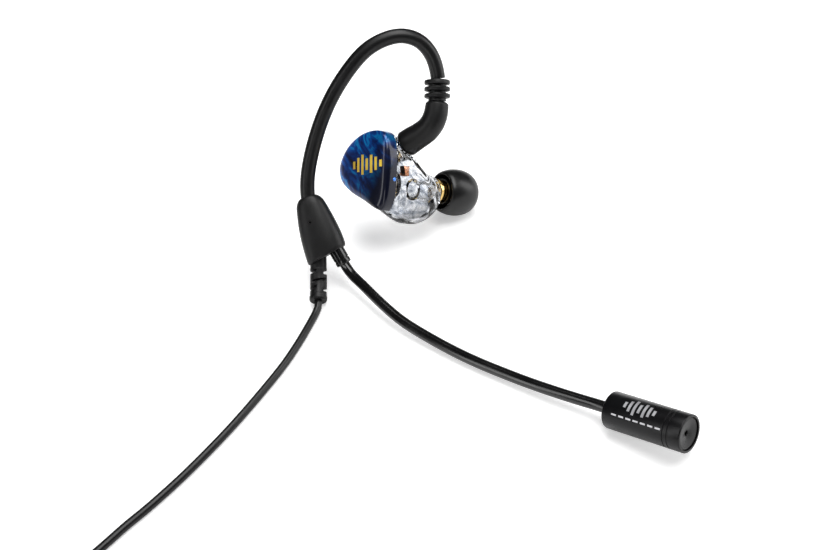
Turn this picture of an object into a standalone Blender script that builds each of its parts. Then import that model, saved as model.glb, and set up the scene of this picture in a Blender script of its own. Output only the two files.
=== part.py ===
"""In-ear monitor with an ear hook, a boom microphone and a lead, lying on a table.

Lengths are in millimetres until a shape is made, and MM turns them into metres. Most of the
object is laid out in the plane of its ear hook (x to the right, y up along the hook, z out of
the hook's plane). The hook plane leans on the table, so that the ear tip, the end of the
lead's strain relief and the microphone rest on it.
"""
import math

import bmesh
import bpy
from mathutils import Matrix, Vector

MM = 0.001
GAP = 0.3

# Lay-out of the whole object
LEAN = math.radians(49.567)
TURN = math.radians(12.972)
REST_LIFT = 1.067
ORIGIN_SHIFT = Vector((-11.731, 20.442, 0.0))

# Driving sizes
HOOK_RADIUS = 1.83
HOOK_SPLITS = (0.14, 0.42, 0.70)
BOOM_RADIUS = 1.28
BOOM_SPLITS = (0.13, 0.36, 0.59, 0.82)
CORD_RADIUS = 0.975
YOKE_WALL = 1.1
COLLAR_RADIUS = 1.95
RELIEF_RADIUS = 2.1
SHELL_WALL = 0.9
FACEPLATE_HALF = (9.4, 10.1)
FACEPLATE_DEPTH = 3.6
SOCKET_RADIUS = 2.2
BARREL_RADIUS = 1.55
NOZZLE_RADIUS = 2.9
TUBE_RADIUS = 2.55
MIC_RADIUS = 4.05
MIC_LENGTH = 18.6
JACK_RADIUS = 3.75
COIL_MEAN_RADIUS = 11.5
COIL_SECTION = 7.8

# Routes of the bent tubes, in the hook plane
HOOK_ROUTE = [(-25.9, 17.6, 0.0), (-26.25, 20.0, 0.0), (-26.35, 23.0, 0.2), (-25.85, 27.0, 0.8),
              (-24.45, 32.8, 1.8), (-22.1, 39.5, 2.9), (-18.6, 46.4, 3.9), (-13.65, 53.2, 4.7),
              (-9.45, 56.8, 5.0), (-4.05, 58.9, 5.0), (-1.1, 58.8, 4.6), (1.7, 58.0, 4.0),
              (4.7, 54.9, 2.7), (6.1, 51.0, 1.6), (6.35, 48.9, 1.2)]
PLUG_ROUTE = [(6.15, 43.0, 1.1), (6.0, 41.4, 1.1), (5.65, 39.6, 1.0), (4.85, 37.8, 0.6),
              (3.6, 36.3, -0.2), (2.0, 35.2, -1.1), (-0.3, 33.9, -2.5), (-1.6, 33.1, -3.4)]
BOOM_ROUTE = [(-19.2, 6.5, 0.0), (-17.0, 2.75, 0.0), (-15.4, 0.35, 1.2),
              (-12.5, -2.2, 4.4), (-7.6, -6.8, 9.8),
              (-2.5, -10.95, 14.4), (3.2, -14.3, 18.9), (8.8, -17.2, 23.2), (14.4, -19.7, 27.4),
              (20.0, -21.8, 31.5), (25.5, -23.7, 35.6), (30.8, -25.3, 39.6), (36.1, -26.75, 43.3),
              (40.3, -27.8, 46.3), (42.3, -28.35, 48.2)]
RELIEF_ROUTE = [(-23.7, 6.2, 0.0), (-23.55, 4.6, 0.0), (-23.5, 2.2, 0.02), (-23.45, -0.6, 0.35),
                (-23.4, -3.6, 1.25), (-23.35, -6.5, 2.6)]

# Places of the sub-assemblies, in the hook plane
YOKE_TOP = Vector((-26.0, 19.0, 0.0))
YOKE_DOWN = Vector((0.316, -0.949, 0.0)).normalized()
FACE_CENTRE = Vector((-11.75, 26.1, -2.0))
FACE_RIGHT = Vector((0.682, 0.0, 0.731)).normalized()
SOCKET_MOUTH = Vector((-2.44, 32.52, -4.04))
PLUG_AXIS = Vector((-0.70, -0.48, -0.53)).normalized()
NOZZLE_END = Vector((5.6, 21.7, -9.6))
NOZZLE_AXIS = Vector((0.795, -0.020, -0.606)).normalized()
MIC_REAR = Vector((42.65, -28.46, 48.5))
MIC_AXIS = Vector((0.721, -0.190, 0.666)).normalized()

# The lead, on the table (x, y across it, z the height of the lead's centre)
CORD_ROUTE = [(-24.22, -2.75, 1.9), (-24.6, -4.3, 1.3), (-25.35, -5.85, 1.05), (-26.3, -7.65, 1.0),
              (-27.9, -10.65, 1.0), (-30.6, -15.4, 1.0), (-34.7, -21.7, 1.0), (-41.0, -29.7, 1.0),
              (-48.7, -38.6, 1.0), (-57.8, -47.8, 1.0), (-65.8, -54.8, 1.0), (-71.3, -59.0, 1.0),
              (-76.8, -63.6, 1.0), (-81.3, -67.0, 1.0), (-85.5, -69.1, 1.0)]
COIL_CENTRE = Vector((-93.0, -84.0, 0.8))
TAIL_ROUTE = [(-85.5, -98.9, 1.0), (-82.6, -99.6, 1.1), (-79.4, -100.4, 1.6),
              (-76.2, -101.0, 2.6), (-73.4, -101.25, 3.45), (-71.3, -101.3, 3.75)]
JACK_START = Vector((-71.0, -101.3, 3.75))

for old in list(bpy.data.objects):
    bpy.data.objects.remove(old, do_unlink=True)

parts = bpy.data.collections.new("in_ear_monitor")
cutters = bpy.data.collections.new("cutters")
bpy.context.scene.collection.children.link(parts)
bpy.context.scene.collection.children.link(cutters)


# ---------------------------------------------------------------- materials

def material(name, colour, roughness, metallic=0.0, transmission=0.0):
    made = bpy.data.materials.new(name)
    made.use_nodes = True
    shader = made.node_tree.nodes["Principled BSDF"]
    shader.inputs["Base Color"].default_value = (*colour, 1.0)
    shader.inputs["Roughness"].default_value = roughness
    shader.inputs["Metallic"].default_value = metallic
    shader.inputs["Transmission Weight"].default_value = transmission
    return made


SOFT_BLACK = material("soft_black_moulding", (0.020, 0.020, 0.021), 0.55)
BOOM_BLACK = material("boom_sleeve_black", (0.012, 0.012, 0.013), 0.35)
SILICONE = material("black_silicone", (0.015, 0.015, 0.016), 0.45)
ANODISED = material("black_anodised_aluminium", (0.018, 0.018, 0.020), 0.38, 0.9)
BLUE_RESIN = material("blue_pearl_resin", (0.010, 0.045, 0.260), 0.08)
CLEAR_RESIN = material("clear_resin", (0.93, 0.95, 0.97), 0.04, 0.0, 1.0)
GOLD = material("gold_plate", (0.83, 0.62, 0.26), 0.22, 1.0)
STEEL = material("steel", (0.60, 0.60, 0.62), 0.28, 1.0)
WHITE_PLASTIC = material("white_insulator", (0.82, 0.82, 0.80), 0.4)
BOARD = material("circuit_board", (0.34, 0.16, 0.09), 0.4)
FOAM = material("black_foam", (0.02, 0.02, 0.02), 0.95)
COPPER = material("copper_wire", (0.72, 0.36, 0.20), 0.3, 1.0)


# ---------------------------------------------------------------- frames

def empty(name, matrix, parent=None):
    made = bpy.data.objects.new(name, None)
    made.empty_display_size = 5 * MM
    parts.objects.link(made)
    made.parent = parent
    made.matrix_basis = matrix
    return made


def frame_along(origin, axis, side):
    """A frame at origin with its z along axis and its x as near side as it can be."""
    z = axis.normalized()
    x = (side - z * side.dot(z)).normalized()
    y = z.cross(x)
    turned = Matrix((x, y, z)).transposed().to_4x4()
    return Matrix.Translation(origin * MM) @ turned


lean = Matrix.Rotation(LEAN, 4, "X") @ Matrix.Rotation(-TURN, 4, "Z")
TABLE = empty("table_frame", Matrix.Translation(ORIGIN_SHIFT * MM))
HOOK_PLANE = empty("hook_plane", Matrix.Translation(Vector((0, 0, REST_LIFT)) * MM) @ lean, TABLE)
YOKE = empty("yoke_frame", frame_along(YOKE_TOP, -YOKE_DOWN, Vector((1, 0, 0))), HOOK_PLANE)
PLUG = empty("connector_frame", frame_along(SOCKET_MOUTH, PLUG_AXIS, Vector((0, 0, 1))), HOOK_PLANE)
FACE = empty("earpiece_frame", frame_along(FACE_CENTRE, FACE_RIGHT.cross(Vector((0, 1, 0))),
                                           FACE_RIGHT), HOOK_PLANE)
NOZZLE = empty("nozzle_frame", frame_along(NOZZLE_END, NOZZLE_AXIS, FACE_RIGHT), HOOK_PLANE)
MIC = empty("mic_frame", frame_along(MIC_REAR, MIC_AXIS, Vector((1, 0, 0))), HOOK_PLANE)
JACK = empty("jack_frame", frame_along(JACK_START, Vector((1, 0, 0)), Vector((0, 1, 0))), TABLE)
COIL = empty("coil_frame", Matrix.Translation(COIL_CENTRE * MM), TABLE)


# ---------------------------------------------------------------- shape tools

def add_object(name, data, finish, parent, collection=parts):
    made = bpy.data.objects.new(name, data)
    collection.objects.link(made)
    made.parent = parent
    if finish:
        data.materials.append(finish)
    return made


def mesh_object(name, shape, finish, parent, smooth_angle=35, collection=parts):
    bmesh.ops.recalc_face_normals(shape, faces=shape.faces)
    data = bpy.data.meshes.new(name)
    shape.to_mesh(data)
    shape.free()
    data.shade_smooth()
    data.set_sharp_from_angle(angle=math.radians(smooth_angle))
    return add_object(name, data, finish, parent, collection)


def turned(name, profile, finish, parent, sides=24, closed=False, collection=parts):
    """A profile of (radius, z) turned about the frame's z axis."""
    shape = bmesh.new()
    points = [shape.verts.new((r * MM, 0, z * MM)) for r, z in profile]
    for first, second in zip(points, points[1:]):
        shape.edges.new((first, second))
    if closed:
        shape.edges.new((points[-1], points[0]))
    data = bpy.data.meshes.new(name)
    shape.to_mesh(data)
    shape.free()
    made = add_object(name, data, finish, parent, collection)
    screw = made.modifiers.new("turn", "SCREW")
    screw.axis = "Z"
    screw.steps = screw.render_steps = sides
    screw.use_merge_vertices = True
    screw.merge_threshold = 1e-6
    screw.use_smooth_shade = True
    return made


def ring(name, outer, inner, low, high, finish, parent, sides=24, bevel=0.0):
    """A tube wall between two radii and two heights, with an optional edge break."""
    b = bevel
    profile = [(outer - b, high), (outer, high - b), (outer, low + b), (outer - b, low),
               (inner + b, low), (inner, low + b), (inner, high - b), (inner + b, high)]
    if b == 0.0:
        profile = [(outer, high), (outer, low), (inner, low), (inner, high)]
    return turned(name, profile, finish, parent, sides, closed=True)


def disc(name, radius, low, high, finish, parent, sides=24, bevel=0.0, collection=parts):
    profile = [(0, high), (radius - bevel, high), (radius, high - bevel),
               (radius, low + bevel), (radius - bevel, low), (0, low)]
    if bevel == 0.0:
        profile = [(0, high), (radius, high), (radius, low), (0, low)]
    return turned(name, profile, finish, parent, sides, collection=collection)


def block(name, size, centre, finish, parent, bevel=0.0, collection=parts):
    shape = bmesh.new()
    bmesh.ops.create_cube(shape, size=1.0)
    bmesh.ops.scale(shape, vec=Vector(size) * MM, verts=shape.verts)
    bmesh.ops.translate(shape, vec=Vector(centre) * MM, verts=shape.verts)
    made = mesh_object(name, shape, finish, parent, collection=collection)
    if bevel:
        rounding = made.modifiers.new("edges", "BEVEL")
        rounding.width = bevel * MM
        rounding.segments = 2
    return made


def loft(name, sections, finish, parent, collection=parts):
    """A closed body through rings of points that all have the same count."""
    shape = bmesh.new()
    rings = [[shape.verts.new(point * MM) for point in section] for section in sections]
    count = len(rings[0])
    for lower, upper in zip(rings, rings[1:]):
        for i in range(count):
            j = (i + 1) % count
            shape.faces.new((lower[i], lower[j], upper[j], upper[i]))
    shape.faces.new(rings[0][::-1])
    shape.faces.new(rings[-1])
    return mesh_object(name, shape, finish, parent, 40, collection)


def smooth_path(route, step):
    """Points about one step apart on a Catmull-Rom curve through the route."""
    route = [Vector(point) for point in route]
    ends = [2 * route[0] - route[1], *route, 2 * route[-1] - route[-2]]
    path = [route[0]]
    for a, b, c, d in zip(ends, ends[1:], ends[2:], ends[3:]):
        pieces = max(1, round((c - b).length / step))
        for i in range(1, pieces + 1):
            t = i / pieces
            path.append(0.5 * (2 * b + (c - a) * t + (2 * a - 5 * b + 4 * c - d) * t ** 2
                               + (3 * b - a - 3 * c + d) * t ** 3))
    return path


def lengths_along(path):
    total = [0.0]
    for first, second in zip(path, path[1:]):
        total.append(total[-1] + (second - first).length)
    return total


def point_at(path, distance):
    total = lengths_along(path)
    for i in range(1, len(path)):
        if distance <= total[i]:
            t = (distance - total[i - 1]) / (total[i] - total[i - 1])
            return path[i - 1].lerp(path[i], t)
    return path[-1].copy()


def stretch_of(path, start, end):
    """The part of a path between two distances along it."""
    total = lengths_along(path)
    middle = [p for p, s in zip(path, total) if start + 0.4 < s < end - 0.4]
    return [point_at(path, start), *middle, point_at(path, end)]


def tube(name, points, radii, finish, parent, detail=3, pivot=None):
    """A round bar along points; pivot is where the object's origin goes."""
    pivot = Vector(pivot) if pivot is not None else Vector((0, 0, 0))
    data = bpy.data.curves.new(name, "CURVE")
    data.dimensions = "3D"
    data.resolution_u = 1
    data.render_resolution_u = 0
    data.bevel_depth = 1.0 * MM
    data.bevel_resolution = detail
    data.use_fill_caps = True
    line = data.splines.new("POLY")
    line.points.add(len(points) - 1)
    for i, point in enumerate(points):
        line.points[i].co = (*((point - pivot) * MM), 1.0)
        line.points[i].radius = radii[i] if isinstance(radii, list) else radii
    made = add_object(name, data, finish, parent)
    made.location = pivot * MM
    return made


def with_ball_end(bar, radius):
    """Turns the last stretch of a bar, given as (point, radius), into a half ball."""
    tip = bar[-1][0]
    ahead = (tip - bar[-2][0]).normalized()
    centre = tip - ahead * radius
    ball = [(centre, radius)]
    for angle in (20, 45, 70):
        turn = math.radians(angle)
        ball.append((centre + ahead * radius * math.sin(turn), radius * math.cos(turn)))
    return [(p, r) for p, r in bar if (p - centre).dot(ahead) < -0.25] + ball


def round_ended(points, radius, round_start, round_end):
    """The points and radii of a bar that is closed with a half ball at one or both ends."""
    bar = [(p, radius) for p in points]
    if round_end:
        bar = with_ball_end(bar, radius)
    if round_start:
        bar = with_ball_end(bar[::-1], radius)[::-1]
    return [p for p, _ in bar], [r for _, r in bar]


def cut(target, cutter):
    """Takes the cutter's shape out of the target."""
    cutter.hide_render = True
    cutter.display_type = "WIRE"
    boolean = target.modifiers.new("cut_" + cutter.name, "BOOLEAN")
    boolean.operation = "DIFFERENCE"
    boolean.object = cutter
    return target


def join(target, other):
    """Adds the other shape to the target."""
    other.hide_render = True
    other.display_type = "WIRE"
    boolean = target.modifiers.new("join_" + other.name, "BOOLEAN")
    boolean.operation = "UNION"
    boolean.object = other


def cutter_rod(name, start, end, radius, parent, sides=24):
    """A straight round cutter between two points of a frame."""
    axis = end - start
    shape = bmesh.new()
    placed = frame_along((start + end) / 2, axis, Vector((0.3, 1.0, 0.2)))
    bmesh.ops.create_cone(shape, cap_ends=True, segments=sides, radius1=radius * MM,
                          radius2=radius * MM, depth=axis.length * MM, matrix=placed)
    return mesh_object(name, shape, None, parent, collection=cutters)


# ---------------------------------------------------------------- yoke

YOKE_SECTIONS = [(0.5, 2.15, 2.15), (0.15, 2.65, 2.5), (-0.8, 3.35, 2.85), (-2.2, 3.8, 3.1),
                 (-5.8, 4.55, 3.5), (-10.0, 5.1, 3.8), (-13.6, 5.25, 3.9), (-14.6, 5.15, 3.85),
                 (-14.9, 4.9, 3.6)]
YOKE_SKEW = 0.2
COLLAR_START = Vector((2.2, 0.0, -12.5))
COLLAR_END = Vector((3.4, 0.0, -18.25))


def rounded_section(half_x, half_y, z, count=28, power=2.4):
    points = []
    for i in range(count):
        angle = 2 * math.pi * i / count
        c = math.cos(angle)
        s = math.sin(angle)
        x = half_x * math.copysign(abs(c) ** (2 / power), c)
        y = half_y * math.copysign(abs(s) ** (2 / power), s)
        points.append(Vector((x, y, z)))
    return points


def yoke_section(z, half_x, half_y):
    """A section of the yoke, skewed towards the foot so that its left side hangs lower."""
    skew = YOKE_SKEW * min(1.0, max(0.0, (-z - 8.0) / 5.0))
    return [p + Vector((0, 0, skew * p.x)) for p in rounded_section(half_x, half_y, z)]


def in_yoke_frame(point):
    return YOKE.matrix_basis.inverted() @ (Vector(point) * MM) / MM


def yoke_half(name, side):
    """One half of the yoke's housing; side is -1 for the front and 1 for the rear."""
    outer = [yoke_section(z, a, b) for z, a, b in YOKE_SECTIONS]
    shell = loft(name, outer, SOFT_BLACK, YOKE)
    hollow = [rounded_section(a - YOKE_WALL, b - YOKE_WALL, z)
              for z, a, b in YOKE_SECTIONS if -13.0 < z < -2.0]
    cut(shell, loft(name + "_hollow", hollow, None, YOKE, cutters))
    cut(shell, block(name + "_split", (20, 20, 40), (0, -side * (10 - GAP / 4), -8), None, YOKE,
                     collection=cutters))
    bores = {"_hook_bore": (HOOK_ROUTE[0], HOOK_ROUTE[2], HOOK_RADIUS),
             "_relief_bore": (RELIEF_ROUTE[0], RELIEF_ROUTE[2], RELIEF_RADIUS)}
    for bore, (inner, outer_end, radius) in bores.items():
        deep = in_yoke_frame(inner)
        mouth = in_yoke_frame(outer_end)
        overrun = (deep - mouth).normalized() * 1.5
        cut(shell, cutter_rod(name + bore, deep + overrun, mouth, radius + GAP, YOKE))
    collar_axis = (COLLAR_END - COLLAR_START).normalized()
    cut(shell, cutter_rod(name + "_collar_bore", COLLAR_START - collar_axis, COLLAR_END + collar_axis * 4,
                          COLLAR_RADIUS + 0.1, YOKE))
    return shell


front = yoke_half("yoke_front_shell", -1)
cut(front, cutter_rod("pin_hole", Vector((-1.3, -6, -5.9)), Vector((-1.3, -1, -5.9)), 0.3, YOKE, 8))
yoke_half("yoke_rear_shell", 1)
block("junction_board", (4.6, 0.8, 4.8), (0, 0, -7.4), BOARD, YOKE, 0.1)
ring("boom_collar", COLLAR_RADIUS, BOOM_RADIUS + 0.4, 0, (COLLAR_END - COLLAR_START).length,
     BOOM_BLACK, empty("collar_frame", frame_along(COLLAR_START, COLLAR_END - COLLAR_START,
                                                   Vector((1, 0, 0))), YOKE), bevel=0.08)

relief_path = smooth_path(RELIEF_ROUTE, 0.45)
relief_length = lengths_along(relief_path)[-1]
relief_points = []
relief_radii = []
RIB_PITCH = 1.25
for point, distance in zip(relief_path, lengths_along(relief_path)):
    groove = distance > 3.2 and distance < relief_length - 2.0
    deep = groove and (distance % RIB_PITCH) > 0.62 * RIB_PITCH
    relief_points.append(point)
    relief_radii.append(RELIEF_RADIUS - 0.4 if deep else RELIEF_RADIUS)
tube("cable_strain_relief", relief_points, relief_radii, SOFT_BLACK, HOOK_PLANE, detail=4)


# ---------------------------------------------------------------- ear hook

def split_bar(names, route, splits, radius, finish, step, detail=3):
    """A bent bar in several links; each link's origin is the joint at its start."""
    path = smooth_path(route, step)
    length = lengths_along(path)[-1]
    cuts = [0.0, *[fraction * length for fraction in splits], length]
    for i, name in enumerate(names):
        first = i == 0
        last = i == len(names) - 1
        start = cuts[i] if first else cuts[i] + GAP / 2
        end = cuts[i + 1] if last else cuts[i + 1] - GAP / 2
        points, radii = round_ended(stretch_of(path, start, end), radius, not first, not last)
        pivot = point_at(path, cuts[i])
        tube(name, points, radii, finish, HOOK_PLANE, detail, pivot)


split_bar(["hook_root", "hook_lower", "hook_middle", "hook_upper"], HOOK_ROUTE, HOOK_SPLITS,
          HOOK_RADIUS, SOFT_BLACK, 2.2)


# ---------------------------------------------------------------- connector on the hook

PLUG_RADII = [2.85, 2.98, 3.05, 3.1, 3.15, 3.2, 3.35, 3.4]
plug_path = smooth_path(PLUG_ROUTE, 1.1)
plug_length = lengths_along(plug_path)[-1]
plug_radii = []
for distance in lengths_along(plug_path):
    place = distance / plug_length * (len(PLUG_RADII) - 1)
    low = min(int(place), len(PLUG_RADII) - 2)
    plug_radii.append(PLUG_RADII[low] + (PLUG_RADII[low + 1] - PLUG_RADII[low]) * (place - low))
tube("plug_housing", plug_path, plug_radii, SOFT_BLACK, HOOK_PLANE, detail=5)

relief_frame = empty("plug_relief_frame", frame_along(Vector((6.15, 43.3, 1.1)),
                                                      Vector((0.0, 1.0, 0.02)),
                                                      Vector((1, 0, 0))), HOOK_PLANE)
rings = [(2.1, 5.2), (3.0, 5.2), (3.2, 5.0), (3.2, 4.2), (2.25, 4.1)]
for top in (3.4, 1.7):
    rings += [(2.25, top + 0.1), (3.25, top), (3.25, top - 0.9), (2.25, top - 1.0)]
rings += [(2.3, 0.0), (0, 0.0)]
turned("plug_relief", [(0, 5.2), *rings], SOFT_BLACK, relief_frame)

ring("plug_barrel", BARREL_RADIUS, 1.2, -1.0, 3.0, GOLD, PLUG, bevel=0.08)
ring("plug_insulator", 1.0, 0.45, -1.0, 0.2, WHITE_PLASTIC, PLUG)
disc("plug_pin", 0.3, -1.0, 2.8, GOLD, PLUG, 12, 0.1)
ring("snap_ring", 1.87, 1.63, 1.3, 1.9, GOLD, PLUG)
ring("mmcx_socket", SOCKET_RADIUS, 1.96, -0.4, 3.6, GOLD, PLUG)
ring("socket_insulator", 1.08, 0.8, 0.6, 3.4, WHITE_PLASTIC, PLUG)
ring("socket_contact", 0.68, 0.42, 0.8, 3.4, GOLD, PLUG, 12)


# ---------------------------------------------------------------- earpiece

# Half outline of the faceplate about its middle: a straight lower left side and a low right tip
FACE_OUTLINE = [(9.5, -0.2), (9.4, 5.4), (8.0, 8.8), (4.0, 10.1), (-1.4, 9.3), (-6.4, 6.4),
                (-9.3, 2.2), (-8.8, -1.8), (-4.8, -5.1), (0.8, -7.7), (5.0, -9.9), (6.9, -9.9),
                (8.7, -7.0)]
FACE_MIDDLE = (-1.8, 0.2)
# Depth behind the faceplate's front, centre across it, half width, half height, share of the outline
SHELL_SECTIONS = [(3.9, -1.8, 0.2, 9.4, 10.1, 1.0), (5.4, -0.8, -0.9, 9.0, 10.0, 0.85),
                  (7.2, 0.9, -3.0, 8.2, 9.8, 0.6), (9.2, 2.8, -4.0, 7.2, 9.2, 0.4),
                  (11.2, 4.4, -5.3, 6.3, 7.9, 0.2), (13.0, 5.9, -6.1, 5.4, 6.5, 0.0),
                  (14.6, 6.9, -5.9, 4.3, 5.5, 0.0), (15.8, 7.6, -5.5, 3.2, 4.4, 0.0),
                  (16.3, 7.8, -5.4, 2.6, 3.2, 0.0)]
FACE_SECTIONS = [(-0.42, 0.42), (-0.30, 0.66), (-0.05, 0.84), (0.30, 0.93), (0.85, 0.982),
                 (1.6, 1.0), (FACEPLATE_DEPTH, 1.0)]
SHELL_POINTS = 40


def outline_point(share):
    """A point on the faceplate's outline, a share of the way round it."""
    place = share * len(FACE_OUTLINE)
    index = int(place)
    t = place - index
    a, b, c, d = (Vector(FACE_OUTLINE[(index + i) % len(FACE_OUTLINE)]) for i in (-1, 0, 1, 2))
    return 0.5 * (2 * b + (c - a) * t + (2 * a - 5 * b + 4 * c - d) * t ** 2
                  + (3 * b - a - 3 * c + d) * t ** 3)


def egg(depth, x0, y0, half_x, half_y, tip, count=SHELL_POINTS):
    """The faceplate's outline, scaled and rounded off towards an ellipse."""
    points = []
    for i in range(count):
        angle = 2 * math.pi * i / count
        outline = outline_point(i / count)
        x = (1 - tip) * half_x * math.cos(angle) + tip * half_x * outline.x / FACEPLATE_HALF[0]
        y = (1 - tip) * half_y * math.sin(angle) + tip * half_y * outline.y / FACEPLATE_HALF[1]
        points.append(Vector((x0 + x, y0 + y, -depth)))
    return points


plate = [egg(depth, *FACE_MIDDLE, FACEPLATE_HALF[0] * s, FACEPLATE_HALF[1] * s, s)
         for depth, s in FACE_SECTIONS]
loft("faceplate", plate, BLUE_RESIN, FACE)

to_face = FACE.matrix_basis.inverted()


def in_face_frame(point):
    return to_face @ (point * MM) / MM


def face_direction(axis):
    return (to_face.to_3x3() @ axis).normalized()


nozzle_end = in_face_frame(NOZZLE_END)
nozzle_axis = face_direction(NOZZLE_AXIS)
shell = loft("shell_body", [egg(*section) for section in SHELL_SECTIONS], CLEAR_RESIN, FACE)


cavity = [egg(d - 0.8, x0, y0, a - SHELL_WALL, b - SHELL_WALL, tip)
          for d, x0, y0, a, b, tip in SHELL_SECTIONS[:-1]]
cavity.append(egg(15.4, 7.6, -5.4, 1.8, 2.4, 0.0))
cut(shell, loft("shell_cavity", cavity, None, FACE, cutters))
join(shell, cutter_rod("nozzle_stem", nozzle_end - nozzle_axis * 6.8, nozzle_end - nozzle_axis * 0.3,
                       NOZZLE_RADIUS, FACE))
socket_mouth = in_face_frame(SOCKET_MOUTH)
plug_axis = face_direction(PLUG_AXIS)
join(shell, cutter_rod("socket_boss", socket_mouth - plug_axis * 0.8, socket_mouth + plug_axis * 5.0,
                       SOCKET_RADIUS + 0.75, FACE))
cut(shell, cutter_rod("plug_seat", socket_mouth - plug_axis * 0.6, socket_mouth - plug_axis * 9,
                      PLUG_RADII[-1] + 0.7, FACE))
cut(shell, cutter_rod("nozzle_bore", nozzle_end - nozzle_axis * 8.5, nozzle_end + nozzle_axis * 1,
                      2.0, FACE))
cut(shell, cutter_rod("socket_bore", socket_mouth - plug_axis * 2, socket_mouth + plug_axis * 4.3,
                      SOCKET_RADIUS + 0.15, FACE))

# Sound outlet
turned("nozzle_tube", [(3.15, 0.9), (3.15, 0.0), (1.9, 0.0), (1.9, 7.1), (TUBE_RADIUS - 0.15, 7.1),
                       (TUBE_RADIUS, 6.9), (TUBE_RADIUS, 0.9)], GOLD, NOZZLE, closed=True)
disc("nozzle_screen", 1.8, 6.3, 6.6, STEEL, NOZZLE)

# Sound parts inside the shell
DRIVER_CENTRE = Vector((1.4, -2.9, -6.0))
driver_frame = empty("driver_frame", frame_along(DRIVER_CENTRE, Vector((0, 0, -1)), Vector((1, 0, 0))),
                     FACE)
turned("dynamic_driver", [(0, 1.5), (1.6, 1.5), (2.0, 1.1), (3.8, 1.1), (4.1, 0.8), (4.1, -0.3),
                          (3.4, -0.6), (3.4, -2.0), (3.1, -2.3), (0, -2.3)], STEEL, driver_frame)
block("balanced_armature", (2.2, 2.6, 1.6), (5.0, 0.4, -8.6), COPPER, FACE, 0.2)
block("crossover_board", (3.0, 2.6, 0.6), (-4.4, 1.6, -5.2), BOARD, FACE, 0.1)


def wire(name, route):
    tube(name, smooth_path(route, 0.9), 0.16, COPPER, FACE, detail=1)


wire("driver_wire", [(-2.7, 0.9, -5.2), (-2.4, 0.6, -5.1), (-2.0, 0.15, -5.0), (-1.4, -0.45, -4.9)])
wire("armature_wire", [(3.7, 0.2, -8.4), (3.2, -0.4, -8.3), (2.7, -1.1, -8.0), (2.3, -1.7, -7.75)])

# Ear tip
tip_profile = [(2.1, 12.0), (3.0, 12.0), (4.3, 11.4), (5.4, 10.0), (5.95, 8.2), (6.08, 6.5),
               (5.9, 4.7), (5.4, 3.1), (4.8, 2.3), (4.45, 2.4), (4.95, 4.3), (5.05, 6.1),
               (4.7, 7.7), (4.0, 8.5), (3.4, 8.1), (3.4, 2.4), (2.85, 2.4), (2.85, 7.7), (2.1, 8.1)]
turned("ear_tip", tip_profile, SILICONE, NOZZLE, 28, closed=True)


# ---------------------------------------------------------------- boom and microphone

split_bar(["boom_root", "boom_link_1", "boom_link_2", "boom_link_3", "boom_link_4"], BOOM_ROUTE,
          BOOM_SPLITS, BOOM_RADIUS, BOOM_BLACK, 2.6)

front_z = MIC_LENGTH - 1.0
housing = [(MIC_RADIUS - 0.5, front_z), (MIC_RADIUS - 0.12, front_z), (MIC_RADIUS, front_z - 0.2)]
for groove in (front_z - 2.9, front_z - 3.9):
    housing += [(MIC_RADIUS, groove + 0.12), (MIC_RADIUS - 0.12, groove + 0.06),
                (MIC_RADIUS - 0.12, groove - 0.06), (MIC_RADIUS, groove - 0.12)]
housing += [(MIC_RADIUS, -0.7), (MIC_RADIUS - 0.3, -1.0), (2.6, -1.0), (2.6, 0.2),
            (MIC_RADIUS - 0.7, 0.6), (MIC_RADIUS - 0.7, front_z - 2.0),
            (MIC_RADIUS - 0.5, front_z - 1.8)]
turned("mic_housing", housing, ANODISED, MIC, 32, closed=True)
turned("mic_front_cap", [(0.55, front_z - 0.75), (1.0, front_z - 0.45), (3.1, front_z - 0.25),
                         (3.4, front_z - 0.35), (3.4, front_z - 1.4), (0.55, front_z - 1.4)],
       ANODISED, MIC, 32, closed=True)
ring("mic_gasket", 3.05, 1.6, front_z - 2.6, front_z - 1.7, FOAM, MIC)
disc("mic_cartridge", 3.0, front_z - 5.6, front_z - 2.9, STEEL, MIC, 24, 0.2)
ring("mic_sleeve", 3.1, 2.2, front_z - 8.2, front_z - 5.9, FOAM, MIC)
block("mic_board", (4.0, 0.8, 6.0), (0, 0, 5.2), BOARD, MIC, 0.1)
ring("mic_grommet", 2.45, 1.6, -1.6, 1.2, SILICONE, MIC, bevel=0.2)


# ---------------------------------------------------------------- lead, coil and jack

def cord_tube(name, route):
    path = smooth_path(route, 2.2 * 2 * CORD_RADIUS)
    tube(name, path, CORD_RADIUS, SOFT_BLACK, TABLE, detail=2)


cord_tube("cable_run", CORD_ROUTE)
cord_tube("cable_tail", TAIL_ROUTE)
half = COIL_SECTION / 2
edge = 1.6
turned("cable_coil", [(COIL_MEAN_RADIUS + half - edge, 2 * half),
                      (COIL_MEAN_RADIUS + half, 2 * half - edge), (COIL_MEAN_RADIUS + half, edge),
                      (COIL_MEAN_RADIUS + half - edge, 0.02),
                      (COIL_MEAN_RADIUS - half + edge, 0.02), (COIL_MEAN_RADIUS - half, edge),
                      (COIL_MEAN_RADIUS - half, 2 * half - edge),
                      (COIL_MEAN_RADIUS - half + edge, 2 * half)],
       SOFT_BLACK, COIL, 36, closed=True)

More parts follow.
